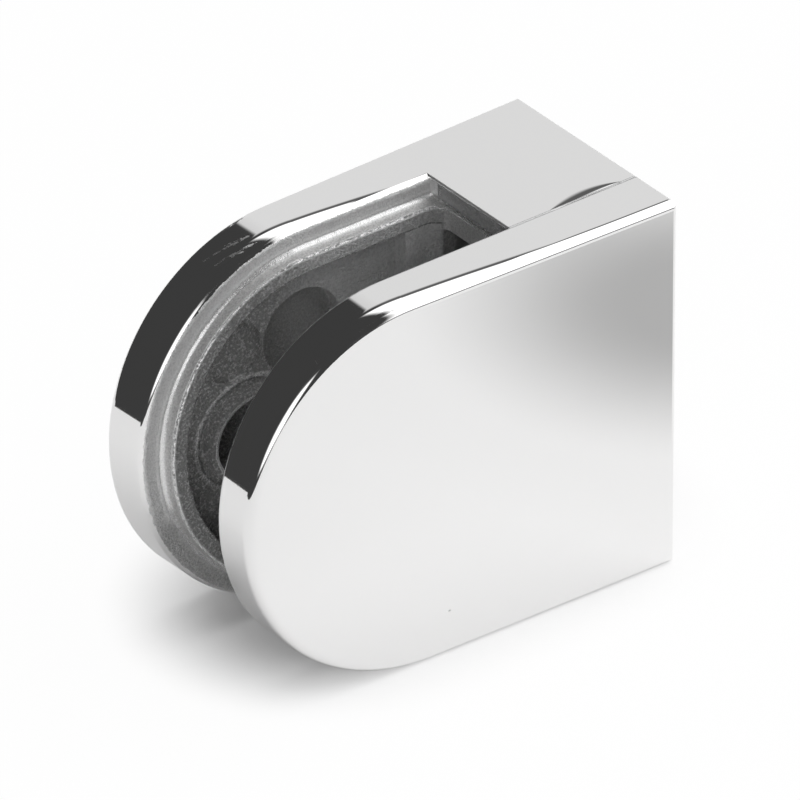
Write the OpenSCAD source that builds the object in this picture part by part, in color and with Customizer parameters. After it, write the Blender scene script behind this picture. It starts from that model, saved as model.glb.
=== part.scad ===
// Glass panel clamp with a flat fixing face and a full round nose.
// The mounting face is the plane x = 0, the nose points to -X, the cover plate lies on the -Y side,
// and +Z is up. The origin is the middle of the mounting face. All lengths are millimetres.

/* [Body] */
// Height of both jaws
body_h = 40; // [36:0.5:60]
// Length from the mounting face to the tip of the nose
body_l = 49.8; // [46:0.2:80]
// Thickness over both jaws at the mounting face
body_t = 24.3; // [23:0.1:30]
// Angle by which each outer face leans in towards the nose
lean = 1.35; // [0:0.05:1.5]
// Height of the nose's tip above the middle, which makes its upper arc tighter than its lower one
nose_lift = 1.2; // [0.2:0.1:1.6]
// Radius of the polished outer edges
edge_r = 0.9; // [0.4:0.1:1.6]
// Radius of the corners at the mounting face
corner_r = 0.8; // [0.3:0.1:1.5]
// Radius of the corners beside the seam at the mounting face
notch_r = 0.4; // [0.2:0.1:0.8]

/* [Jaws] */
// Thickness of the cover plate at the mounting face
cover_t = 5.9; // [5.5:0.1:7]
// Thickness of the rear jaw at the mounting face
jaw_t = 6.5; // [5.8:0.1:7.4]
// Radius of the rear jaw's edge towards the glass
rim_r = 0.75; // [0.1:0.05:0.9]
// Length of the solid block between the mounting face and the glass slot
block_l = 15.6; // [15:0.1:20]
// Radius of the edges along the seam and of the cover's edge towards the glass
seam_r = 0.15; // [0.1:0.05:0.6]

/* [Insert seats] */
// Width of the flat rim left outside the seat rib
rim_w = 2.25; // [2:0.05:4]
// Height of the seat rib over the jaw's face
rib_h = 1.5; // [1.3:0.1:2.2]
// Width of the seat rib
rib_w = 1.7; // [1:0.05:3]
// Radius at the foot of the seat rib
foot_r = 0.9; // [0.2:0.1:1.1]
// Further step in of the rib at the tip of the nose
nose_step = 0.5; // [0:0.1:1.5]
// Depth of the pocket inside the rib
pocket_d = 1.7; // [0.6:0.1:2]
// Distance from the slot's end wall to the pocket
pocket_end = 4; // [3:0.1:6]
// Radius that blends the seat into the slot's end wall
blend_r = 1.8; // [1:0.1:2.6]
// Play between the cover's seat and the slot's end wall
stop_play = 0.15; // [0.05:0.05:0.4]

/* [Pin boss] */
// Distance of the pin boss from the mounting face
boss_x = 37.1; // [35:0.1:39.5]
// Diameter of the pin boss
boss_d = 10; // [9.4:0.1:12]
// Height of the pin boss over the pocket's floor
boss_h = 1.2; // [0.2:0.1:1.4]
// Diameter of the pin hole
pin_d = 8.4; // [5:0.1:8.8]
// Depth of the pin hole from the top of the boss
pin_depth = 4.2; // [2:0.1:4.6]

/* [Insert sockets] */
// Distance of the large sockets from the mounting face
socket_x = 30.6; // [28:0.1:33]
// Height of the large sockets above and below the middle
socket_z = 8.6; // [7.5:0.1:10]
// Diameter of the large sockets
socket_d = 9; // [5:0.1:9.4]
// Depth of the large sockets below the pocket's floor
socket_depth = 1.4; // [0.3:0.1:2]
// Distance of the small dimples from the mounting face
dimple_x = 38.4; // [37:0.1:40]
// Height of the small dimples above and below the middle
dimple_z = 9; // [8.5:0.1:11]
// Diameter of the small dimples
dimple_d = 6.4; // [4:0.1:7.2]
// Depth of the small dimples below the pocket's floor
dimple_depth = 0.5; // [0.2:0.1:1]

/* [Fixing hole] */
// Diameter of the fixing hole, clearance for an M6 screw
fix_d = 6.6; // [5.5:0.1:8.4]
// Diameter of the counterbore for the fixing screw's head
head_bore_d = 11; // [10:0.1:12]
// Depth of the counterbore from the slot's end wall
head_bore_depth = 7; // [4:0.1:8]
// Height of the relief cast into the slot's end wall
relief_h = 30.9; // [24:0.1:33]
// Width of the relief
relief_w = 6.6; // [2:0.1:7]
// Depth of the relief
relief_depth = 3.8; // [1:0.1:4.2]

/* [Clamping screws] */
// Distance of the clamping screws from the mounting face
screw_x = 8; // [7.6:0.1:8.4]
// Height of the clamping screws above and below the middle
screw_z = 12; // [11:0.1:12.6]
// Thread diameter of the clamping screws
screw_d = 6; // [5:0.5:6.5]
// Diameter of the countersunk heads
screw_head_d = 12; // [10:0.5:12]
// Width across the flats of the hexagon sockets
hex_af = 4; // [3:0.5:5]
// Depth of the hexagon sockets
hex_depth = 2.2; // [1:0.1:3]
// Radial clearance of the screws in the block
screw_play = 0.3; // [0.1:0.05:0.5]
// Radial clearance of the screws in the tapped holes
thread_play = 0.05; // [0.02:0.01:0.1]
// Depth of the tapped holes in the cover
tap_depth = 4.1; // [2.5:0.1:4.2]
// Distance of the heads below the rear face
head_sink = 0.2; // [0.1:0.05:0.4]

/* [Hidden] */
$fn = 96;
// Amount by which a cutting or joining solid runs past a face
over = 1;
// Outward shift of the glass edges' roundings, so that each meets its leaning wall at a clear angle
edge_shift = 0.02;
nose_r = body_h / 2;
rear_y = body_t / 2;
seam_y = -rear_y + cover_t;
jaw_y = rear_y - jaw_t;
seat_r = nose_r - rim_w;
seat_l = body_l - rim_w - nose_step;
pocket_r = seat_r - rib_w;
pocket_l = seat_l - rib_w;
// Distance from the mounting face to the tip of each jaw's edge towards the glass
jaw_tip = body_l * cos(lean) - (jaw_t - rim_r - body_l * sin(lean)) * tan(lean);
cover_tip = body_l * cos(lean) - (cover_t - seam_r - body_l * sin(lean)) * tan(lean);
floor_y = pocket_d - rib_h;
screw_head_y = rear_y - (screw_x + screw_head_d / 2) * tan(lean) - head_sink;
head_cone_h = (screw_head_d - screw_d) / 2;
screw_tip_y = seam_y - tap_depth + screw_play;
steel = [0.83, 0.84, 0.85];
fastener_steel = [0.62, 0.63, 0.65];

// Square corner less its inscribed quarter round, for cutting a rounded edge.
module round_cut(r) {
    difference() {
        square(r + over);
        circle(r);
    }
}

// Section of a plate with round outer edges: height along X, Y from the glass face at 0 to t.
module plate_section(t, outer_r) {
    difference() {
        translate([-nose_r, 0]) square([body_h, t]);
        for (side = [0, 1]) mirror([side, 0]) translate([nose_r - outer_r, t - outer_r]) round_cut(outer_r);
    }
}

// Section of the seat rib's block, with a hollow foot where it stands on the jaw's face.
module seat_section() {
    translate([-seat_r, -rib_h]) square([2 * seat_r, rib_h + over]);
    for (side = [0, 1]) mirror([side, 0]) translate([seat_r, -foot_r]) difference() {
        translate([-foot_r, 0]) square([2 * foot_r, foot_r + over]);
        translate([foot_r, 0]) circle(foot_r);
    }
}

// The part of a section on its +X side from x on.
module section_from(x) {
    intersection() {
        children();
        translate([x, -body_t]) square([body_h, 2 * body_t]);
    }
}

// One of the nose's two arcs, a section turned through 90 degrees with its radius larger by grow.
module nose_arc(centre_x, grow, start) {
    translate([centre_x, 0, nose_lift]) rotate([-90, 0, 0]) rotate([0, 0, start]) rotate_extrude(angle = 90)
        section_from(0) translate([grow, 0]) children();
}

// Sweeps a section along the straight edges and round the nose, between two distances from the face.
module d_sweep(near, far, half_h) {
    low_x = half_h + nose_lift - far;
    translate([-near, 0, 0]) rotate([0, -90, 0]) linear_extrude(height = -low_x - near) children();
    translate([low_x, 0, 0]) rotate([0, -90, 0]) linear_extrude(height = 2 * nose_lift)
        section_from(nose_lift) children();
    nose_arc(low_x, nose_lift, 90) children();
    nose_arc(low_x - 2 * nose_lift, -nose_lift, 180) children();
}

// Outline of a jaw whose outer face, at y = outer_y on the +Y side, leans in towards the nose.
module leaning_jaw(outer_y, t) {
    translate([0, outer_y, 0]) rotate([0, 0, lean]) translate([0, -t - over, 0])
        d_sweep(-over, body_l, nose_r) plate_section(t + over, edge_r);
}

// Rounds the two corners of a section at its glass face, y = 0.
module glass_corner_cuts(r) {
    for (side = [0, 1]) mirror([side, 0]) translate([nose_r - r + edge_shift, r]) mirror([0, 1]) round_cut(r);
}

// Rounds the edge of a jaw towards the glass, whose face is y = 0 with the jaw on its +Y side.
module glass_edge_cut(r, tip) {
    d_sweep(-over, tip, nose_r) glass_corner_cuts(r);
}

// Outline seen from above, between two Y values, with round corners at the mounting face.
module plan_limit(y_low, y_high, low_r, high_r) {
    width = y_high - y_low;
    translate([0, y_low, -body_h]) linear_extrude(height = 2 * body_h) difference() {
        translate([-body_l - over, 0]) square([body_l + over, width]);
        translate([-high_r, width - high_r]) round_cut(high_r);
        translate([-low_r, low_r]) mirror([0, 1]) round_cut(low_r);
    }
}

// Outline seen from the cover's side, with round corners at the mounting face.
module side_limit(length, far_r) {
    translate([0, body_t, 0]) rotate([90, 0, 0]) linear_extrude(height = 2 * body_t) difference() {
        translate([-length, -body_h / 2]) square([length, body_h]);
        for (side = [0, 1]) mirror([0, side]) {
            translate([-corner_r, body_h / 2 - corner_r]) round_cut(corner_r);
            if (far_r > 0) translate([far_r - length, body_h / 2 - far_r]) mirror([1, 0]) round_cut(far_r);
        }
    }
}

// Cylinder along Y from y_low to y_high at a distance x from the mounting face.
module y_cylinder(d, x, z, y_low, y_high) {
    translate([-x, y_high, z]) rotate([90, 0, 0]) cylinder(d = d, h = y_high - y_low);
}

// Flat bottomed pocket inside the rib.
module seat_pocket(near, bottom_y) {
    d_sweep(near, pocket_l, pocket_r)
        translate([-pocket_r, -rib_h - over]) square([2 * pocket_r, bottom_y + rib_h + over]);
}

// Quarter hollow that blends the seat's face into the slot's end wall, running into the wall by reach.
module wall_blend(near, reach) {
    translate([-near, -rib_h, -seat_r]) linear_extrude(height = 2 * seat_r) difference() {
        translate([-blend_r, -blend_r]) square([blend_r + reach, blend_r + over]);
        translate([-blend_r, -blend_r]) circle(blend_r);
    }
}

// Gives a jaw, whose glass face is y = 0 with the jaw on its +Y side, its seat, pocket and boss.
module with_seat(near, reach) {
    difference() {
        union() {
            children();
            d_sweep(near - reach, seat_l, seat_r) seat_section();
            wall_blend(near, reach);
        }
        seat_pocket(block_l + pocket_end, floor_y);
    }
    y_cylinder(boss_d, boss_x, 0, floor_y - boss_h, floor_y + over);
}

// What is sunk into a jaw below the pocket's floor.
module seat_sunk() {
    y_cylinder(pin_d, boss_x, 0, floor_y - boss_h - over, floor_y - boss_h + pin_depth);
    for (side = [-1, 1]) {
        y_cylinder(socket_d, socket_x, side * socket_z, floor_y - over / 2, floor_y + socket_depth);
        intersection() {
            y_cylinder(dimple_d, dimple_x, side * dimple_z, floor_y - over / 2, floor_y + dimple_depth);
            seat_pocket(block_l + pocket_end, floor_y + dimple_depth + over);
        }
    }
}

// Puts its children into the frame of the rear jaw's glass face.
module on_rear_jaw() {
    translate([0, jaw_y, 0]) children();
}

// Puts its children into the frame of the cover's glass face, or back out of it.
module on_cover() {
    translate([0, seam_y, 0]) mirror([0, 1, 0]) children();
}

// Screw clearance, countersink and mouth for one clamping screw, along Y through the block.
module clamp_bore(z) {
    y_cylinder(screw_d + 2 * screw_play, screw_x, z, seam_y - over, rear_y);
    translate([-screw_x, screw_head_y, z]) rotate([90, 0, 0])
        cylinder(d1 = screw_head_d + 2 * screw_play, d2 = screw_d, h = head_cone_h + screw_play);
    y_cylinder(screw_head_d + 2 * screw_play, screw_x, z, screw_head_y, rear_y + over);
}

// Way in along X for the fixing screw's head, from the pocket to the bottom of the counterbore.
module head_channel() {
    translate([-block_l - pocket_end, 0, 0]) rotate([0, 90, 0])
        cylinder(d = head_bore_d, h = pocket_end + head_bore_depth);
}

// Fixing hole along X with its counterbore, and the relief in the slot's end wall.
module fixing_cuts() {
    translate([-block_l - over, 0, 0]) rotate([0, 90, 0]) cylinder(d = fix_d, h = block_l + 2 * over);
    head_channel();
    translate([-block_l - over, -relief_w / 2, -relief_h / 2])
        cube([relief_depth + over, relief_w, relief_h]);
}

// Rear jaw without its seat.
module rear_jaw() {
    difference() {
        intersection() {
            plan_limit(jaw_y, rear_y, corner_r, corner_r);
            side_limit(body_l + over, 0);
            leaning_jaw(rear_y, jaw_t);
        }
        on_rear_jaw() glass_edge_cut(rim_r, jaw_tip);
    }
}

// Solid block between the mounting face and the slot, reaching halfway into the rear jaw.
module block() {
    intersection() {
        plan_limit(seam_y, rear_y, notch_r, corner_r);
        side_limit(block_l, seam_r);
        translate([over, seam_y, 0]) rotate([0, -90, 0]) linear_extrude(height = block_l + 2 * over)
            difference() {
                translate([-nose_r, 0]) square([body_h, jaw_y - seam_y + jaw_t / 2]);
                glass_corner_cuts(seam_r);
            }
    }
}

// Rear jaw and block, one casting.
module base_body() {
    color(steel) difference() {
        on_rear_jaw() with_seat(block_l, over) translate([0, -jaw_y, 0]) {
            rear_jaw();
            block();
        }
        on_rear_jaw() seat_sunk();
        fixing_cuts();
        for (side = [-1, 1]) clamp_bore(side * screw_z);
    }
}

// Front jaw without its seat.
module front_jaw() {
    difference() {
        intersection() {
            plan_limit(-rear_y, seam_y, corner_r, notch_r);
            translate([-body_l - over, seam_y - cover_t - over, -body_h])
                cube([body_l + over, cover_t + over, 2 * body_h]);
            side_limit(body_l + over, 0);
            mirror([0, 1, 0]) leaning_jaw(rear_y, cover_t);
        }
        on_cover() glass_edge_cut(seam_r, cover_tip);
    }
}

// Cover with its seat and tapped holes, a separate casting screwed to the block.
module cover_plate() {
    color(steel) difference() {
        on_cover() with_seat(block_l + stop_play, 0) on_cover() front_jaw();
        on_cover() seat_sunk();
        head_channel();
        for (side = [-1, 1])
            y_cylinder(screw_d + 2 * thread_play, screw_x, side * screw_z, seam_y - tap_depth, seam_y + over);
    }
}

// One countersunk socket screw, its head towards +Y.
module clamp_screw(z) {
    difference() {
        union() {
            y_cylinder(screw_d, screw_x, z, screw_tip_y, screw_head_y);
            translate([-screw_x, screw_head_y, z]) rotate([90, 0, 0])
                cylinder(d1 = screw_head_d, d2 = screw_d, h = head_cone_h);
        }
        translate([-screw_x, screw_head_y + over, z]) rotate([90, 0, 0])
            cylinder(d = hex_af / cos(30), h = hex_depth + over, $fn = 6);
    }
}

// Both clamping screws.
module clamp_screws() {
    color(fastener_steel) for (side = [-1, 1]) clamp_screw(side * screw_z);
}

base_body();
cover_plate();
clamp_screws();
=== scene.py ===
"""Polished glass panel clamp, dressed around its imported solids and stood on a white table."""

import logging
import math
from dataclasses import dataclass, field
from enum import Enum
from typing import Any

import bpy
from mathutils import Matrix, Vector


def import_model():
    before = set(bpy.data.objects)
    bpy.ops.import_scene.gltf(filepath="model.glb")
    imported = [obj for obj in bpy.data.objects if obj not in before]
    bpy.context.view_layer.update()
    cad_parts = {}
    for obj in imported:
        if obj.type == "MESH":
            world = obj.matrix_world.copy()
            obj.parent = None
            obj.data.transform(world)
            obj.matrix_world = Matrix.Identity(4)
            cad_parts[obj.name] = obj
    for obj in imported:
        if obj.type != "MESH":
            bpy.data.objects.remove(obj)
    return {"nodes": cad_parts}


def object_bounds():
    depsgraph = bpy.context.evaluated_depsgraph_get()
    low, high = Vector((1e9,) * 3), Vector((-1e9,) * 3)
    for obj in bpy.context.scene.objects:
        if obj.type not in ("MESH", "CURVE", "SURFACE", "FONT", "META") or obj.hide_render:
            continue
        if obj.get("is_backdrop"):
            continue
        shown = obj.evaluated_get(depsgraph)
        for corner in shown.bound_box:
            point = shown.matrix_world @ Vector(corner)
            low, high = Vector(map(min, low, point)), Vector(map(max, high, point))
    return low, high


LOG = logging.getLogger("clamp")
MM = 0.001


class Mark(Enum):
    """Handling marks on the polish: a hairline scatters light, and a nick is dark."""

    HAIRLINE = 0.95
    NICK = 0.3


@dataclass(frozen=True)
class Channel:
    """A value that varies over a surface, held by a node's output socket."""

    shader: "Shader"
    socket: bpy.types.NodeSocket

    def _math(self, operation: str, *values: Any) -> "Channel":
        """Adds one Math node and returns its value."""
        return self.shader.node("ShaderNodeMath", {"operation": operation}, dict(enumerate(values)))

    def __add__(self, other: Any) -> "Channel":
        """Returns self + other."""
        return self._math("ADD", self, other)

    def __radd__(self, other: Any) -> "Channel":
        """Returns other + self."""
        return self._math("ADD", other, self)

    def __sub__(self, other: Any) -> "Channel":
        """Returns self - other."""
        return self._math("SUBTRACT", self, other)

    def __rsub__(self, other: Any) -> "Channel":
        """Returns other - self."""
        return self._math("SUBTRACT", other, self)

    def __mul__(self, other: Any) -> "Channel":
        """Returns self * other."""
        return self._math("MULTIPLY", self, other)

    def __truediv__(self, other: Any) -> "Channel":
        """Returns self / other."""
        return self._math("DIVIDE", self, other)

    def __pow__(self, other: Any) -> "Channel":
        """Returns self to the power of other."""
        return self._math("POWER", self, other)

    def __abs__(self) -> "Channel":
        """Returns the size of self without its sign."""
        return self._math("ABSOLUTE", self)

    def at_least(self, other: Any) -> "Channel":
        """Returns the larger of self and other."""
        return self._math("MAXIMUM", self, other)

    def at_most(self, other: Any) -> "Channel":
        """Returns the smaller of self and other."""
        return self._math("MINIMUM", self, other)

    def above(self, edge: float, soft: float) -> "Channel":
        """A mask that rises from 0 to 1 where self passes an edge.

        Args:
            edge: The value at which the mask is a half.
            soft: The width over which it rises.

        Returns:
            The mask.
        """
        return self.shader.node("ShaderNodeMapRange", {"interpolation_type": "SMOOTHSTEP"},
                                {"Value": self, "From Min": edge - soft / 2, "From Max": edge + soft / 2},
                                "Result")

    def below(self, edge: float, soft: float) -> "Channel":
        """A mask that falls from 1 to 0 where self passes an edge.

        Args:
            edge: The value at which the mask is a half.
            soft: The width over which it falls.

        Returns:
            The mask.
        """
        return 1 - self.above(edge, soft)

    def near(self, place: float, reach: float, soft: float) -> "Channel":
        """A mask that is 1 where self lies close to a value.

        Args:
            place: The value.
            reach: How far from it the mask is a half.
            soft: The width over which it falls.

        Returns:
            The mask.
        """
        return abs(self - place).below(reach, soft)


def span(first: Channel, second: Channel) -> Channel:
    """The length of a line from its two parts at right angles."""
    return (first ** 2 + second ** 2) ** 0.5


class Shader:
    """Builds the nodes of one material or world."""

    def __init__(self, tree: bpy.types.NodeTree) -> None:
        """Empties a node tree and keeps it.

        Args:
            tree: The tree to build in.
        """
        self.tree = tree
        tree.nodes.clear()

    def node(self, kind: str, settings: dict[str, Any] | None = None,
             inputs: dict[int | str, Any] | None = None, output: int | str = 0) -> Channel:
        """Adds a node, sets it up and feeds it.

        Args:
            kind: The node's type.
            settings: Its own settings.
            inputs: Values or channels for its sockets, by name or place.
            output: The output that is returned, by name or place.

        Returns:
            The chosen output.
        """
        made = self.tree.nodes.new(kind)
        for name, value in (settings or {}).items():
            setattr(made, name, value)
        for name, value in (inputs or {}).items():
            if isinstance(value, Channel):
                self.tree.links.new(value.socket, made.inputs[name])
            else:
                made.inputs[name].default_value = value
        return Channel(self, made.outputs[output] if made.outputs else None)

    def noise(self, vector: Channel, size_mm: float, detail: float = 2.0, rough: float = 0.5) -> Channel:
        """Even noise between 0 and 1.

        Args:
            vector: The coordinates in metres.
            size_mm: The size of its largest features.
            detail: The number of finer layers.
            rough: How strong each finer layer is.

        Returns:
            The noise.
        """
        return self.node("ShaderNodeTexNoise", {"noise_dimensions": "3D"},
                         {"Vector": vector, "Scale": 1 / (size_mm * MM), "Detail": detail,
                          "Roughness": rough}, 0)

    def split(self, vector: Channel, scale: float = 1.0) -> list[Channel]:
        """The three parts of a vector.

        Args:
            vector: The vector.
            scale: What each part is multiplied by.

        Returns:
            Its x, y and z.
        """
        parts = [self.node("ShaderNodeSeparateXYZ", {}, {0: vector}, axis) for axis in range(3)]
        return parts if scale == 1.0 else [part * scale for part in parts]

    def stretched(self, vector: Channel, scale: tuple[float, float, float]) -> Channel:
        """Coordinates scaled differently along each axis."""
        return self.node("ShaderNodeMapping", {}, {"Vector": vector, "Scale": scale})

    def mixed(self, mask: Channel, first: Any, second: Any) -> Channel:
        """A colour that goes from first to second as the mask goes from 0 to 1.

        Args:
            mask: The factor.
            first: A colour or channel where the mask is 0.
            second: A colour or channel where the mask is 1.

        Returns:
            The colour.
        """
        return self.node("ShaderNodeMix", {"data_type": "RGBA"}, {0: mask, 6: first, 7: second}, 2)

    def bump(self, strength: Any, distance_mm: float, height: Channel,
             normal: Channel | None = None) -> Channel:
        """A normal tilted by a height.

        Args:
            strength: How much of the bump shows, from 0 to 1.
            distance_mm: What a height of 1 stands for, in millimetres.
            height: The height.
            normal: The normal that is tilted, if it isn't the surface's own.

        Returns:
            The normal.
        """
        sockets = {"Strength": strength, "Distance": distance_mm * MM, "Height": height}
        if normal is not None:
            sockets["Normal"] = normal
        return self.node("ShaderNodeBump", {}, sockets, "Normal")


def grey(value: float, warm: float = 0.0) -> tuple[float, float, float, float]:
    """A grey colour, a little warmer where warm is above 0."""
    return (value * (1 + warm), value, value * (1 - warm), 1.0)


def new_material(name: str) -> tuple[bpy.types.Material, Shader]:
    """Adds an empty material.

    Args:
        name: Its name.

    Returns:
        The material and the shader that builds its nodes.
    """
    made = bpy.data.materials.new(name)
    made.use_nodes = True
    return made, Shader(made.node_tree)


def dress(piece: bpy.types.Object, material: bpy.types.Material) -> None:
    """Makes a material the only one of a piece."""
    piece.data.materials.clear()
    piece.data.materials.append(material)
    LOG.info("%s: %s", piece.name, material.name)


@dataclass(frozen=True)
class PolishedSteel:
    """Mirror polish, with the faint waviness and hairlines that a buffing wheel leaves."""

    tone: float = 0.93
    warmth: float = 0.003
    roughness: float = 0.03
    haze: float = 0.03
    haze_mm: float = 5.0
    wave_mm: float = 9.0
    hairline_mm: float = 0.16
    relief_mm: float = 0.04
    seam_tone: float = 0.72
    seam_roughness: float = 0.35
    burr_roughness: float = 0.5
    mark_roughness: float = 0.5


@dataclass(frozen=True)
class BlastedSteel:
    """Cast surface left as blasted, with grain, pits and lumps."""

    tone: float = 0.72
    warmth: float = 0.004
    dark_tone: float = 0.45
    light_tone: float = 0.95
    roughness: float = 0.32
    grain_roughness: float = 0.14
    worn_gloss: float = 0.15
    matt: float = 0.25
    grain_mm: float = 0.2
    pit_mm: float = 0.25
    pit_rise: float = 2.8
    lump_mm: float = 1.3
    ring_rise: float = 1.5
    relief_mm: float = 0.16
    edge_wear: float = 6.0
    ragged_mm: float = 0.2


@dataclass(frozen=True)
class CastShades:
    """How far each area of the cast face goes from the grain's own tone towards another.

    Light is painted on the rib and the pocket towards the block, and shade towards the nose, in the
    crease and in the sockets; glints and highlights at the rib's foot and on the ring are painted too.
    Towards the nose and the bottom the face is coarser and darker.
    """

    # Painted light on the rib and, more, on the pocket floor, from the block to this x.
    painted_light_x: float = -31.0
    painted_light_rib: float = 0.35
    painted_light_floor: float = 0.5
    # Painted shade on the rib and the pocket, on the nose past this x.
    painted_shade_x: float = -34.0
    painted_shade: float = 0.45
    painted_shade_tone: float = 0.1125
    pitted: float = 0.16
    pitted_tone: float = 0.135
    # Painted shade in the crease at the rib's inner edge.
    crease_shade: float = 0.6
    crease_shade_tone: float = 0.1
    # Painted shade in the round sockets.
    socket: float = 0.4
    socket_shade_tone: float = 0.12
    # Painted glints on the grain's raised specks.
    painted_glints: float = 0.6
    rim: float = 0.3
    rim_grain: float = 0.8
    rim_tone: float = 0.97
    # Painted highlight at the rib's foot.
    foot: float = 0.7
    # Painted highlight on the ring round the pin boss.
    ring: float = 0.8
    # Coarser and darker towards the nose and the bottom: pits rise and darken, rim and foot are lightened
    # less.
    coarse_dark_x: float = -24.0
    coarse_dark_z: float = -2.0
    coarse_dark_wander: float = 6.0


@dataclass(frozen=True)
class MachinedSteel:
    """Drilled and turned surfaces."""

    tone: float = 0.6
    roughness: float = 0.28


@dataclass(frozen=True)
class Scratch:
    """A short mark on a polished face, from start to end in millimetres."""

    start: tuple[float, float, float]
    end: tuple[float, float, float]
    kind: Mark
    width: float = 0.05
    depth: float = 0.5


@dataclass(frozen=True)
class RollOff:
    """How far buffing has rolled a jaw's top over towards its edge on the cover's side.

    The edge's rounding starts at y = edge_y beside the mounting face and moves by slant for each
    millimetre towards the nose. The roll grows from x = start to x = nose and is half gone at x = fade.
    """

    edge_y: float
    slant: float
    start: float
    nose: float = -33.5
    fade: float = -40.5
    fade_width: float = 10.0
    width: float = 1.35
    past_edge: float = 0.45
    slope: float = 0.55


@dataclass(frozen=True)
class JawLayout:
    """Where both jaws' features lie, in millimetres.

    The seat rib's outer edge runs level along the jaw's top and bottom and round the nose in two
    arcs that meet at the tip, lift above the middle. The upper arc is the smaller one.
    """

    arc_x: float = -28.1
    arc_radius: float = 18.95
    upper_less: float = 2.4
    lift: float = 1.2
    rib_end_x: float = -15.9
    rib_top: float = -1.3
    rib_width: float = 1.72
    slot_half_height: float = 19.75
    boss_x: float = -37.1
    boss_radius: float = 5.05
    boss_top: float = -0.85
    hole_radius: float = 4.42
    ring_radius: float = 5.85
    socket_x: float = -30.6
    socket_z: float = 8.6
    socket_radius: float = 4.45
    screw_x: float = -8.0
    screw_z: float = 12.0
    screw_bore: float = 6.45
    fixing_bore: float = 5.62
    fixing_end_x: float = -24.0
    sunk_y: float = 10.6
    sunk_end_x: float = -9.5
    outer_face_y: float = -12.15
    outer_lean: float = 0.0236

    def seat_distance(self, x: Channel, z: Channel) -> Channel:
        """How far outside the seat rib's outer edge a place lies.

        Args:
            x: X in millimetres.
            z: Z in millimetres.

        Returns:
            The distance in millimetres, below 0 on the rib and in the pocket.
        """
        upper = z.above(self.lift, 0.01) * self.upper_less
        return span((x - self.arc_x + upper).at_most(0.0), z - self.lift) - (self.arc_radius - upper)

    def boss_distance(self, x: Channel, z: Channel) -> Channel:
        """How far from the pin boss's middle a place lies."""
        return span(x - self.boss_x, z)

    def socket_distance(self, x: Channel, z: Channel) -> Channel:
        """How far from the nearer round socket's middle a place lies."""
        return span(x - self.socket_x, abs(z) - self.socket_z)

    def screw_distance(self, x: Channel, z: Channel) -> Channel:
        """How far from the nearer clamping screw's axis a place lies."""
        return span(abs(z) - self.screw_z, x - self.screw_x)


@dataclass(frozen=True)
class Place:
    """Coordinates on one casting, in millimetres but for the vector, and where its finishes lie.

    The seat is the distance outside the seat rib's outer edge, and the depth is how far the place
    lies in from the glass face, below 0 where it stands proud of it.
    """

    vector: Channel
    x: Channel
    y: Channel
    z: Channel
    seat: Channel
    depth: Channel
    blasted: Channel
    machined: Channel


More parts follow.
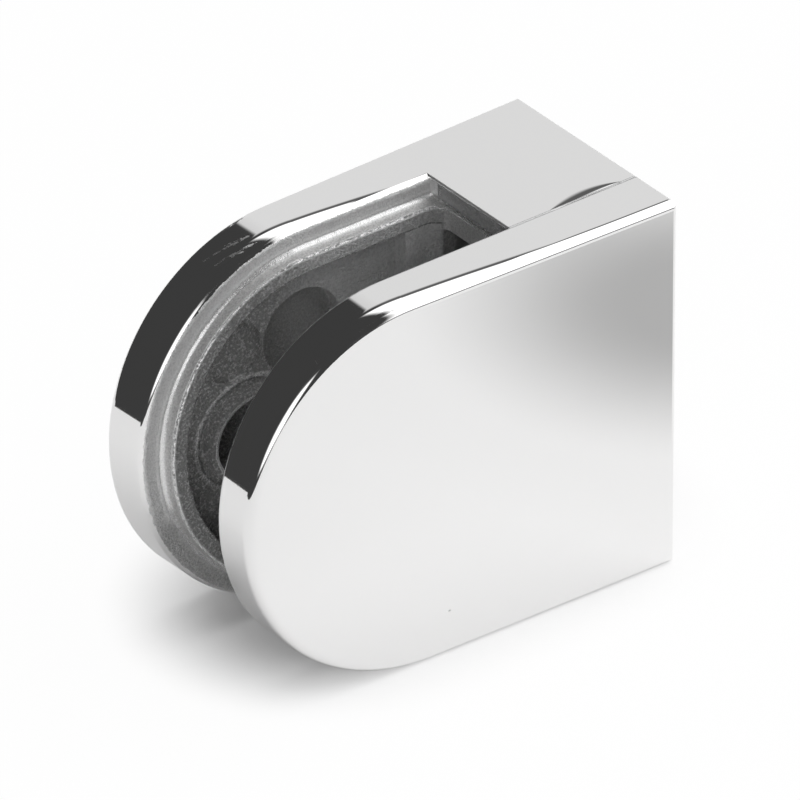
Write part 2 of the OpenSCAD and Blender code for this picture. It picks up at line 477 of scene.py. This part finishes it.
class SlotFace:
    """The blasted cast face in the slot: painted light, shade and highlights, a coarser part, worn edges.
    """

    shades = CastShades()

    def __init__(self, shader: Shader, at: Place, jaw: JawLayout, steel: BlastedSteel) -> None:
        """Works out the patterns and the areas that the face's height, tone and gloss share.

        Args:
            shader: The material's shader.
            at: The coordinates.
            jaw: Where the jaw's features lie.
            steel: The finish.
        """
        self.shader, self.at, self.jaw, self.steel = shader, at, jaw, steel
        self.grain = shader.noise(at.vector, steel.grain_mm, 3.0, 0.65)
        self.lumps = shader.noise(at.vector, steel.lump_mm, 2.0, 0.5)
        self.pits = shader.noise(at.vector, steel.pit_mm, 3.0, 0.7)
        self.inside = at.seat.below(-0.3, 0.16) * at.x.below(jaw.rib_end_x, 0.3) * at.blasted
        # The rib's foot: smoother and glossier, and given a painted highlight in the tone.
        self.foot = at.seat.near(0.33, 0.2, 0.26) * at.depth.below(-0.04, 0.1) * at.blasted
        # Coarser and darker towards the bottom and the nose, with a wandering edge.
        self.coarse_dark = ((at.z + self.lumps * self.shades.coarse_dark_wander).below(self.shades.coarse_dark_z, 7.0)
                    * at.x.below(self.shades.coarse_dark_x, 8.0))
        self.boss = jaw.boss_distance(at.x, at.z)
        self.boss_top = at.depth.below(jaw.boss_top, 0.1) * self.boss.below(jaw.boss_radius, 0.05)
        self.ring = self.boss.near(jaw.ring_radius, 0.24, 0.3) * self.inside
        # Painted highlights on the rib's outer edge, the pin hole's edge and the ring round the boss.
        rib_edge = at.seat.near(-0.08, 0.12, 0.08) * at.depth.below(jaw.rib_top, 0.2)
        hole_edge = self.boss.below(jaw.hole_radius + 0.08, 0.1) * self.boss_top
        self.bright = (rib_edge * self.pits.above(0.46, 0.14)).at_least(hole_edge).at_least(
            self.ring * self.pits.above(0.46, 0.3) * self.shades.ring)

    def height(self) -> Channel:
        """The height of the grain, pits and lumps, lowered where edges are worn."""
        at, steel = self.at, self.steel
        rib_worn = ((at.seat + 0.22).at_least(0.0) * at.depth.below(self.jaw.rib_top, 0.2)
                    * self.pits.above(0.42, 0.2))
        hole_worn = (self.jaw.hole_radius - self.boss).at_least(0.0) * self.boss_top
        return (self.grain * (0.6 - self.foot * 0.4) + self.lumps * 0.6
                + self.pits * self.inside.at_least(self.coarse_dark) * steel.pit_rise
                + self.ring * steel.ring_rise - (rib_worn + hole_worn) * steel.edge_wear)

    def tone(self) -> Channel:
        """The colour: grain, pits, lighter rim, painted light, shade, glints and highlights."""
        at, steel, shades, shader = self.at, self.steel, self.shades, self.shader
        floor = at.seat.below(-self.jaw.rib_width - 0.03, 0.2)
        # Painted shade in the crease where the rib meets the pocket floor.
        crease_shade = at.seat.near(-self.jaw.rib_width, 0.09, 0.1) * self.inside
        # Painted shade in the round sockets, which also get fewer painted glints.
        socket = self.jaw.socket_distance(at.x, at.z).below(self.jaw.socket_radius, 0.5) * self.inside
        pitted = self.inside.at_least(self.coarse_dark) * self.pits.below(0.47, 0.2)
        # Painted glints on the grain's raised specks.
        painted_glints = self.pits.above(0.57, 0.1) * self.inside
        rim = at.seat.above(0.6, 0.2) * at.blasted * (1 - self.coarse_dark)
        tone = shader.mixed(self.grain.above(0.47, 0.4), grey(steel.dark_tone),
                            grey(steel.tone, steel.warmth))
        # Painted light on the rib and the pocket towards the block.
        painted_light = (self.inside * at.x.above(shades.painted_light_x, 8.0)
                 * (floor * shades.painted_light_floor + shades.painted_light_rib))
        # Painted shade on the rib and the pocket towards the nose.
        painted_shade = self.inside * at.x.below(shades.painted_shade_x, 9.0) * shades.painted_shade
        # Painted highlight at the rib's foot, weaker where the face is coarser and darker.
        foot = self.foot * shades.foot * (1 - self.coarse_dark * 0.6)
        layers = ((painted_light, steel.light_tone),
                  (painted_shade, shades.painted_shade_tone),
                  (pitted * shades.pitted, shades.pitted_tone),
                  (crease_shade * shades.crease_shade, shades.crease_shade_tone),
                  (socket * shades.socket, shades.socket_shade_tone),
                  (painted_glints * (shades.painted_glints - socket * 0.4), steel.light_tone),
                  (rim * (self.grain * shades.rim_grain + shades.rim), shades.rim_tone),
                  (self.bright.at_least(foot), steel.light_tone))
        for mask, shade in layers:
            tone = shader.mixed(mask, tone, grey(shade))
        return tone

    def roughness(self) -> Channel:
        """The roughness: less at the rib's foot and where edges and the ring get painted highlights."""
        return ((self.steel.roughness + self.grain * self.steel.grain_roughness) * self.at.blasted
                - self.foot * self.steel.worn_gloss - self.bright * self.steel.worn_gloss)


@dataclass
class CastingDress:
    """Dresses one casting: mirror polish outside, and the blasted cast face inside the slot.

    The glass face is the plane y = face_y, with the casting on the side that side_y names.
    """

    node: str
    face_y: float
    side_y: int
    bore_limit: float
    roll: RollOff
    marks: tuple[Scratch, ...] = ()
    block_end: float = -15.6
    seam_y: float = -6.25
    jaw: JawLayout = field(default_factory=JawLayout)
    polish: PolishedSteel = field(default_factory=PolishedSteel)
    blast: BlastedSteel = field(default_factory=BlastedSteel)
    machine: MachinedSteel = field(default_factory=MachinedSteel)

    def place(self, shader: Shader) -> Place:
        """Works out the coordinates and where the blasted and the machined finish lie.

        Args:
            shader: The material's shader.

        Returns:
            The coordinates and the finishes' masks.
        """
        jaw = self.jaw
        vector = shader.node("ShaderNodeTexCoord", {}, {}, "Object")
        x, y, z = shader.split(vector, 1 / MM)
        seat = jaw.seat_distance(x, z)
        depth = (y - self.face_y) * self.side_y
        ragged = depth + (shader.noise(vector, 0.5, 3.0, 0.6) - 0.5) * self.blast.ragged_mm
        in_slot = (ragged.below(0.1, 0.06) * x.below(self.block_end + 0.03, 0.04)
                   * abs(z).below(jaw.slot_half_height, 0.1))
        sunk = abs(y).below(jaw.sunk_y, 0.1) * seat.below(-0.6, 0.2) * x.below(jaw.sunk_end_x, 0.1)
        bores = (jaw.screw_distance(x, z).below(jaw.screw_bore, 0.05)
                 * (y * self.side_y).below(self.bore_limit, 0.1))
        drilled = span(y, z).below(jaw.fixing_bore, 0.05) * x.above(jaw.fixing_end_x, 0.1)
        machined = bores.at_least(drilled)
        return Place(vector, x, y, z, seat, depth, in_slot.at_least(sunk) * (1 - machined), machined)

    def buffed_height(self, x: Channel, y: Channel) -> Channel:
        """The height, in millimetres, by which buffing has rolled the polished tops over.

        Args:
            x: X in millimetres.
            y: Y in millimetres.

        Returns:
            The height over the flat top.
        """
        roll = self.roll
        reach = (x.below((roll.start + roll.nose) / 2, roll.start - roll.nose)
                 * x.above(roll.fade, roll.fade_width))
        width = reach * roll.width + 0.05
        depth = (roll.edge_y - x * roll.slant + width - y).at_least(0.0).at_most(width + roll.past_edge)
        curved = depth.at_most(width)
        return 0 - (curved * curved / (width * 2) + (depth - curved)) * (reach * roll.slope)

    def seam_height(self, x: Channel, y: Channel) -> Channel:
        """The height, in millimetres, of the shallow lens that buffing leaves beside the seam.

        Args:
            x: X in millimetres.
            y: Y in millimetres.

        Returns:
            The height over the flat top.
        """
        far_end, near_end, fullness = -10.6, -2.2, 17.6
        width = ((x - far_end) * (near_end - x) / fullness).at_least(0.0) * 1.5 + 0.02
        depth = (self.seam_y + 0.15 + width - y).at_least(0.0)
        curved = depth.at_most(width)
        return 0 - curved * curved / (width * 2) * 0.3 * (y - self.seam_y).above(0.0, 0.1)

    def scratches(self, shader: Shader, vector: Channel, kind: Mark) -> Channel | None:
        """A mask of the fine marks of one kind on the polished faces.

        Args:
            shader: The material's shader.
            vector: Object coordinates in metres.
            kind: The kind of mark.

        Returns:
            The mask, or None where there are no such marks.
        """
        total = None
        wobble = (shader.noise(vector, 0.6, 3.0, 0.6) - 0.5) * (0.3 * MM)
        patchy = shader.noise(vector, 0.45, 2.0, 0.6).above(0.43, 0.25)
        for mark in self.marks:
            if mark.kind is not kind:
                continue
            start, end = Vector(mark.start) * MM, Vector(mark.end) * MM
            along = end - start
            length = along.length
            offset = shader.node("ShaderNodeVectorMath", {"operation": "SUBTRACT"}, {0: vector, 1: start})
            reach = shader.node("ShaderNodeVectorMath", {"operation": "DOT_PRODUCT"},
                                {0: offset, 1: along / length}, "Value")
            held = reach.at_least(0.0).at_most(length)
            foot = shader.node("ShaderNodeVectorMath", {"operation": "SCALE"},
                               {0: along / length, "Scale": held})
            gap = shader.node("ShaderNodeVectorMath", {"operation": "DISTANCE"},
                              {0: offset, 1: foot}, "Value")
            line = (gap + wobble).below(mark.width * MM, mark.width * MM) * mark.depth
            total = line if total is None else total.at_least(line)
        return total if total is None else total * patchy

    def normal(self, shader: Shader, at: Place, cast: SlotFace) -> Channel:
        """The bumps of the cast face, of the polish and of its rolled edges, one over the other.

        Args:
            shader: The material's shader.
            at: The coordinates.
            cast: The cast face.

        Returns:
            The normal.
        """
        polished = 1 - at.blasted.at_least(at.machined)
        normal = shader.bump(at.blasted, self.blast.relief_mm, cast.height())
        lengthwise = shader.stretched(at.vector, (0.06, 1.0, 1.0))
        hairlines = shader.noise(lengthwise, self.polish.hairline_mm, 2.0, 0.6)
        waves = shader.noise(at.vector, self.polish.wave_mm, 1.0, 0.4)
        normal = shader.bump(polished * 0.5, self.polish.relief_mm, waves * 0.9 + hairlines * 0.004, normal)
        rolled = self.buffed_height(at.x, at.y) + self.seam_height(at.x, at.y)
        off_face = (at.y - self.jaw.outer_face_y + at.x * self.jaw.outer_lean).above(0.07, 0.1)
        return shader.bump(polished * off_face, 1.0, rolled, normal)

    def material(self) -> bpy.types.Material:
        """Builds the casting's material.

        Returns:
            The material.
        """
        made, shader = new_material(f"{self.node}_steel")
        at = self.place(shader)
        cast = SlotFace(shader, at, self.jaw, self.blast)
        polished = 1 - at.blasted.at_least(at.machined)
        seam = at.y.near(self.seam_y, 0.17, 0.05) * polished
        burr = (at.x.near(self.block_end, 0.19, 0.05) * abs(at.z).above(19.8, 0.06)
                * at.y.above(self.seam_y + 0.02, 0.04) * at.y.below(5.8, 0.2))
        colour = shader.mixed(at.blasted, grey(self.polish.tone, self.polish.warmth), cast.tone())
        colour = shader.mixed(at.machined, colour, grey(self.machine.tone))
        colour = shader.mixed(seam, colour, grey(self.polish.seam_tone))
        haze = shader.noise(at.vector, self.polish.haze_mm, 3.0, 0.6)
        roughness = (self.polish.roughness + haze * self.polish.haze
                     + seam * self.polish.seam_roughness + burr * self.polish.burr_roughness)
        for kind in Mark:
            scratch = self.scratches(shader, at.vector, kind)
            if scratch is not None:
                colour = shader.mixed(scratch, colour, grey(kind.value))
                roughness = roughness + scratch * self.polish.mark_roughness
        roughness = roughness * polished + cast.roughness() + at.machined * self.machine.roughness
        surface = shader.node("ShaderNodeBsdfPrincipled", {},
                              {"Base Color": colour, "Metallic": 1 - at.blasted * self.blast.matt,
                               "Roughness": roughness, "Normal": self.normal(shader, at, cast)})
        shader.node("ShaderNodeOutputMaterial", {}, {"Surface": surface})
        return made


@dataclass
class ScrewDress:
    """Dresses two clamping screws: bright turned heads, cut threads, painted shade in sockets and grooves.
    """

    jaw: JawLayout = field(default_factory=JawLayout)
    tone: float = 0.66
    smear_tone: float = 0.86
    dark_tone: float = 0.45
    roughness: float = 0.2
    smear_roughness: float = 0.12
    shank_radius: float = 2.95
    socket_radius: float = 2.35
    head_y: float = 9.0
    ring_count: float = 42.0
    pitch: float = 1.0
    relief_mm: float = 0.4

    def material(self) -> bpy.types.Material:
        """Builds the screws' material.

        Returns:
            The material.
        """
        made, shader = new_material("turned_screw_steel")
        vector = shader.node("ShaderNodeTexCoord", {}, {}, "Object")
        x, y, z = shader.split(vector, 1 / MM)
        off_x = x - self.jaw.screw_x
        off_z = z - (z.above(0.0, 0.01) * 2 - 1) * self.jaw.screw_z
        across = span(off_x, off_z)
        angle = shader.node("ShaderNodeMath", {"operation": "ARCTAN2"}, {0: off_z, 1: off_x})
        turns = shader.node("ShaderNodeMath", {"operation": "FRACT"},
                            {0: y / self.pitch + angle / math.tau + 40})
        shank = across.above(self.shank_radius - 0.1, 0.1) * across.below(self.shank_radius + 0.1, 0.06)
        thread = (1 - abs(turns * 2 - 1)) * shank
        ripple = shader.node("ShaderNodeMath", {"operation": "SINE"}, {0: across * self.ring_count})
        rings = ripple * (1 - shank)
        smear = shader.noise(vector, 0.9, 3.0, 0.6)
        socket = across.below(self.socket_radius, 0.05) * y.above(self.head_y, 0.1)
        # Painted shade in the heads' sockets and, weaker, in the threads' grooves.
        dark = socket.at_least((shank - thread).at_least(0.0) * 0.6)
        colour = shader.mixed(smear, grey(self.tone * self.smear_tone), grey(self.tone))
        colour = shader.mixed(dark, colour, grey(self.tone * self.dark_tone))
        normal = shader.bump(0.6, self.relief_mm, thread + (rings * 0.4 + smear) * 0.01)
        surface = shader.node("ShaderNodeBsdfPrincipled", {},
                              {"Base Color": colour, "Metallic": 1.0,
                               "Roughness": self.roughness + smear * self.smear_roughness,
                               "Normal": normal})
        shader.node("ShaderNodeOutputMaterial", {}, {"Surface": surface})
        return made


@dataclass
class Studio:
    """White table, surroundings, key lamp and camera.

    Places and radii are in millimetres. The surroundings' ends, tops, front and foot are parts of
    a direction, between -1 and 1.
    """

    table_z: float
    table_centre: tuple[float, float] = (216.0, -207.0)
    table_radius: float = 440.0
    table_tone: float = 0.96
    spot_centre: tuple[float, float] = (29.0, -49.0)
    spot_radius: float = 18.0
    mirrored_shade_tone: float = 0.5
    shadow_reach: float = 15.2
    wall: float = 0.68
    wall_end: float = -0.065
    wall_top: float = 0.22
    softbox: float = 1.35
    softbox_end: float = 0.245
    softbox_foot: float = 0.56
    dark: float = 0.045
    gap: float = 0.06
    gap_end: float = 0.35
    fill: float = 1.3
    fill_front: float = -0.45
    fill_end: float = -0.26
    fill_top: float = 0.7
    key_place: tuple[float, float, float] = (180.0, -170.0, 760.0)
    key_size: float = 900.0
    key_power: float = 4.5
    azimuth: float = 37.9
    elevation: float = 32.02
    view_centre: tuple[float, float] = (-18.55, -6.7)
    distance: float = 1775.0
    lens: float = 848.3

    def table(self) -> None:
        """Lays the round white table, whose edge is close to the clamp on its far left.

        It is matt. The camera sees it as plain white away from the clamp's shadow, and the polish
        mirrors a soft grey area of it in front on the right, a painted shade that only reflections see.
        """
        bpy.ops.mesh.primitive_circle_add(vertices=128, radius=self.table_radius * MM, fill_type="NGON",
                                          location=Vector((*self.table_centre, self.table_z)) * MM)
        top = bpy.context.active_object
        top.name = "table"
        made, shader = new_material("white_table")
        position = shader.node("ShaderNodeNewGeometry", {}, {}, "Position")
        x, y, _ = shader.split(position, 1 / MM)
        shadow_end_x, shadow_start_x, shadow_y = -30.0, -8.0, 3.0
        beside = span(x - x.at_least(shadow_end_x).at_most(shadow_start_x), y - shadow_y)
        # Painted shade on the table in front on the right, seen only in reflections.
        mirrored_shade = span(x - self.spot_centre[0], y - self.spot_centre[1])
        camera = shader.node("ShaderNodeLightPath", {}, {}, "Is Camera Ray")
        mirrored = shader.node("ShaderNodeLightPath", {}, {}, "Is Glossy Ray")
        colour = shader.mixed(mirrored_shade.below(self.spot_radius, 24.0) * mirrored, grey(self.table_tone),
                              grey(self.mirrored_shade_tone))
        plain = shader.node("ShaderNodeBsdfDiffuse", {}, {"Color": colour})
        white = shader.node("ShaderNodeEmission", {}, {"Color": grey(1.0), "Strength": 1.0})
        away = beside.above(self.shadow_reach, 14.0) * 0.9 + 0.07
        mixed = shader.node("ShaderNodeMixShader", {}, {0: camera * away, 1: plain, 2: white})
        shader.node("ShaderNodeOutputMaterial", {}, {"Surface": mixed})
        top.data.materials.append(made)
        top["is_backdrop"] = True

    def surroundings(self) -> None:
        """Sets the world, white to the camera: a grey wall, a softbox over it, a fill and dark gaps.

        The wall stands low on the right and behind, the softbox hangs over its upper edge, and the
        fill stands in front on the left.
        """
        world = bpy.data.worlds.new("studio")
        bpy.context.scene.world = world
        world.use_nodes = True
        shader = Shader(world.node_tree)
        x, y, z = shader.split(shader.node("ShaderNodeTexCoord", {}, {}, "Generated"))
        lift = z - y * 0.9
        past_wall_end = x * 0.883 - y * 0.469
        past_box_end = x + y * 0.15
        wall = past_wall_end.above(self.wall_end, 0.03) * lift.below(self.wall_top, 0.24)
        softbox = (past_box_end.above(self.softbox_end, 0.1) * lift.above(self.softbox_foot, 0.14)
                   * z.above(0.1, 0.05))
        fill = (y.below(self.fill_front, 0.3) * x.below(self.fill_end, 0.16)
                * z.above(0.0, 0.1) * z.below(self.fill_top, 0.2))
        level = (self.dark + x.above(self.gap_end, 0.1) * self.gap + wall * (self.wall - self.dark)
                 + softbox * (self.softbox - self.dark) + fill * self.fill)
        ambient = shader.node("ShaderNodeBackground", {}, {"Color": level, "Strength": 1.0})
        white = shader.node("ShaderNodeBackground", {}, {"Color": grey(1.0), "Strength": 1.0})
        seen = shader.node("ShaderNodeLightPath", {}, {}, "Is Camera Ray")
        mixed = shader.node("ShaderNodeMixShader", {}, {0: seen, 1: ambient, 2: white})
        shader.node("ShaderNodeOutputWorld", {}, {"Surface": mixed})

    def key(self) -> None:
        """Hangs the key lamp above and in front of the clamp's right."""
        bpy.ops.object.light_add(type="AREA", location=Vector(self.key_place) * MM)
        lamp = bpy.context.active_object
        lamp.name = "key_lamp"
        lamp.data.shape = "SQUARE"
        lamp.data.size = self.key_size * MM
        lamp.data.energy = self.key_power
        lamp.rotation_euler = (-lamp.location).to_track_quat("-Z", "Y").to_euler()
        lamp.visible_glossy = False
        lamp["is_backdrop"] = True

    def camera(self) -> None:
        """Places the long-lens camera in front of the clamp's cover, looking down at it."""
        azimuth, elevation = math.radians(self.azimuth), math.radians(self.elevation)
        right = Vector((math.cos(azimuth), -math.sin(azimuth), 0))
        up = Vector((math.sin(azimuth) * math.sin(elevation), math.cos(azimuth) * math.sin(elevation),
                     math.cos(elevation)))
        back = right.cross(up)
        aside, above = self.view_centre
        bpy.ops.object.camera_add(location=(right * aside + up * above + back * self.distance) * MM)
        eye = bpy.context.active_object
        eye.rotation_euler = Matrix((right, up, back)).transposed().to_euler()
        eye.data.lens = self.lens
        eye.data.sensor_width = 36.0
        eye.data.clip_end = 20.0
        bpy.context.scene.camera = eye

    def build(self) -> None:
        """Builds the whole studio."""
        self.camera()
        self.table()
        self.surroundings()
        self.key()
        bpy.context.scene.view_settings.view_transform = "Standard"
        LOG.info("studio built")


def on_nose(turn: float, y: float) -> tuple[float, float, float]:
    """A place on the nose's upper arc.

    Args:
        turn: The angle from the top edge round towards the tip, in degrees.
        y: The place across the clamp in millimetres.

    Returns:
        The place in millimetres.
    """
    arc_x, lift, radius = -31.0, 1.2, 18.8
    angle = math.radians(turn)
    return (arc_x - radius * math.sin(angle), y, lift + radius * math.cos(angle))


def base_marks() -> tuple[Scratch, ...]:
    """The rear jaw's handling marks: two streaks of hairlines where its top turns into the nose."""
    hairlines = ((27, 9.15, 22, 8.85), (24.5, 9.0, 19, 8.45), (21, 8.75, 16, 8.3),
                 (17.5, 8.3, 12.5, 8.1), (19.5, 8.9, 14.5, 8.35),
                 (26, 7.75, 21.5, 7.45), (23, 7.6, 18, 7.1), (19.5, 7.3, 14.5, 6.85),
                 (16.5, 7.15, 13, 6.8), (21, 7.15, 17, 6.75))
    group = tuple(Scratch(on_nose(a, b), on_nose(c, d), Mark.HAIRLINE, width=0.1, depth=0.7)
                  for a, b, c, d in hairlines)
    speck = Scratch((-8.5, 2.6, 20.0), (-8.45, 2.65, 20.0), Mark.NICK, width=0.06, depth=0.5)
    return group + (speck,)


def cover_marks() -> tuple[Scratch, ...]:
    """The cover's handling marks: a hairline on the nose, and a thin nick and a speck on the face."""
    face = -11.6
    return (Scratch(on_nose(32.6, -9.9), on_nose(33.4, -11.0), Mark.HAIRLINE, width=0.06, depth=0.7),
            Scratch((-30.2, face, 1.5), (-29.0, face, 0.6), Mark.NICK, depth=0.25),
            Scratch((-29.0, face, 0.6), (-27.9, face, 0.1), Mark.NICK, depth=0.25),
            Scratch((-26.7, face, -15.2), (-26.5, face, -15.2), Mark.NICK, width=0.07, depth=0.7))


def main() -> None:
    """Loads the solids, dresses each of them and builds the studio."""
    logging.basicConfig(level=logging.INFO, format="%(name)s: %(message)s")
    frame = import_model()
    cad_box = [list(corner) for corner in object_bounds()]
    bpy.ops.object.select_all(action="DESELECT")
    base = CastingDress("base_body", face_y=5.65, side_y=1, bore_limit=12.5,
                        roll=RollOff(edge_y=6.4, slant=0.0, start=-15.0), marks=base_marks())
    cover = CastingDress("cover_plate", face_y=-6.25, side_y=-1, bore_limit=10.6,
                         roll=RollOff(edge_y=-11.25, slant=JawLayout.outer_lean, start=-5.0),
                         marks=cover_marks())
    for casting in (base, cover):
        dress(frame["nodes"][casting.node], casting.material())
    dress(frame["nodes"]["clamp_screws"], ScrewDress().material())
    Studio(table_z=cad_box[0][2] / MM).build()


if __name__ == "__main__":
    main()
